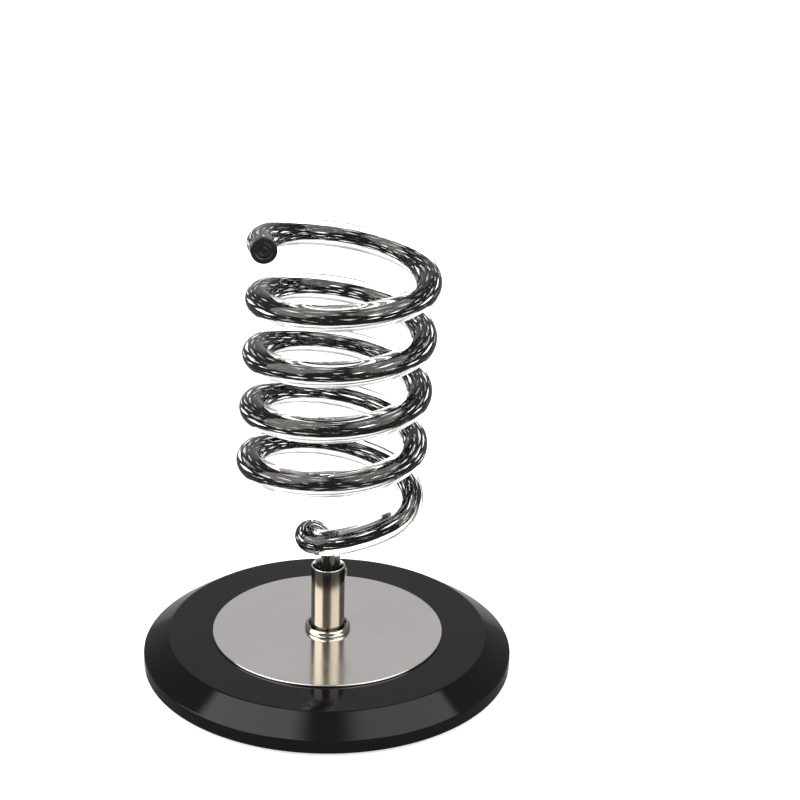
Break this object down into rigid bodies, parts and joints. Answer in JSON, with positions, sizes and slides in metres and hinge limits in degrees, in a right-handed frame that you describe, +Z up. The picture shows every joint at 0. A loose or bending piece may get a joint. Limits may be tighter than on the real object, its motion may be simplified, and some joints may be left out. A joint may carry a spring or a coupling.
{
  "type": "hair dryer holder",
  "caption": "Table-top hair dryer holder: a clear acrylic rod with a braided black core, wound into an open coil on a steel post and a weighted round black base.",
  "frame": {"origin": "centre of the round base, on the surface that it stands on", "axes": "+Z up along the post, +X to the side that the coil starts from and leans to, -Y to the front"},
  "size_m": [0.22, 0.22, 0.2741],
  "materials": {
    "base": "semi-gloss black",
    "plate": "satin mirror stainless",
    "post": "polished stainless tube",
    "chrome": "bright chrome",
    "screw": "bright plated steel",
    "zinc": "zinc plated",
    "ballast": "dull grey",
    "pad": "matt foam rubber",
    "rod": "clear polished acrylic",
    "net": "braided black nylon",
    "cap": "moulded black"
  },
  "bodies": {
    "stand": {"anti_slip_pad": "pad", "base_disc": "base", "ballast_plate": "ballast", "ballast_screw_1": "zinc", "ballast_screw_2": "zinc", "ballast_screw_3": "zinc", "ballast_screw_4": "zinc", "face_plate": "plate", "post_tube": "post", "post_plug": "zinc", "collar_ring": "chrome", "anchor_bolt": "zinc", "anchor_washer": "zinc", "anchor_spring_washer": "zinc", "clamp_insert": "zinc"},
    "coil": {"spiral_rod": "rod", "net_core": "net", "tip_cap": "cap"},
    "screw_washer": {"clamp_washer": "zinc"},
    "screw": {"clamp_screw": "screw"}
  },
  "joints": [
    {"name": "coil_swivel", "type": "hinge", "parent": "stand", "child": "coil", "pos_m": [0, 0, 0.05], "axis": [0, 0, 1], "continuous": true},
    {"name": "clamp_travel", "type": "slide", "parent": "stand", "child": "screw_washer", "axis": [0.6428, 0.766, 0], "range_m": [0, 0.0021]},
    {"name": "clamp_turn", "type": "hinge", "parent": "screw_washer", "child": "screw", "pos_m": [0, 0, 0.0555], "axis": [0.6428, 0.766, 0], "range_deg": [0, 1080]}
  ],
  "couplings": [
    {"joint": "clamp_turn", "follows": "clamp_travel", "rad_per_m": 8976}
  ]
}
